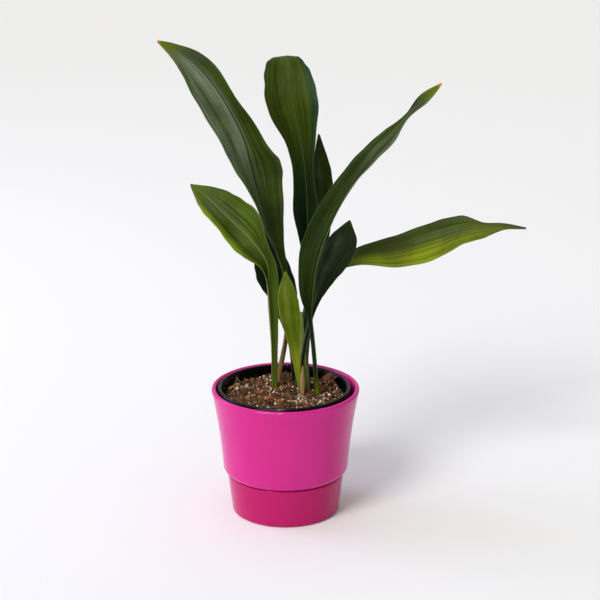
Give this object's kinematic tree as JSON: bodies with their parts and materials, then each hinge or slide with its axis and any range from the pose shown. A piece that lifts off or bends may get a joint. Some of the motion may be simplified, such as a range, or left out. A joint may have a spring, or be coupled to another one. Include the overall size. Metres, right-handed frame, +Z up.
{
  "type": "potted cast iron plant",
  "caption": "Cast iron plant with long leathery leaves, growing in bark mix in a black nursery pot inside a glazed pink ceramic cover pot with a stepped foot.",
  "frame": {"origin": "middle of the cover pot's foot, on the plane it stands on", "axes": "+Z up along the pot's axis, -Y towards the front, +X to the viewer's right, where the arching leaf reaches out"},
  "size_m": [0.3636, 0.1833, 0.4878],
  "materials": {
    "pink_glaze": "glossy",
    "black_plastic": "matte",
    "bark_mix": "rough bark and coir",
    "leaf_tall_left": "leaf, satin",
    "leaf_broad_back": "leaf, satin",
    "leaf_twisted_right": "leaf, satin",
    "leaf_arching_right": "leaf, satin",
    "leaf_dark_right": "leaf, satin",
    "leaf_pale_left": "leaf, satin",
    "leaf_rear": "leaf, satin",
    "leaf_young_front": "leaf, satin",
    "leaf_dark_left": "leaf, satin",
    "sheath_green": "papery bract, matt",
    "sheath_dry": "papery bract, matt",
    "sheath_tan": "papery bract, matt"
  },
  "bodies": {
    "root": {"cover_pot": "pink_glaze", "nursery_pot": "black_plastic", "potting_mix": "bark_mix", "leaf_tall_left": "leaf_tall_left", "leaf_broad_back": "leaf_broad_back", "leaf_twisted_right": "leaf_twisted_right", "leaf_arching_right": "leaf_arching_right", "leaf_dark_right": "leaf_dark_right", "leaf_pale_left": "leaf_pale_left", "leaf_rear": "leaf_rear", "leaf_young_front": "leaf_young_front", "leaf_dark_left": "leaf_dark_left", "sheath_green": "sheath_green", "sheath_dry": "sheath_dry", "sheath_tan": "sheath_tan"}
  },
  "joints": []
}
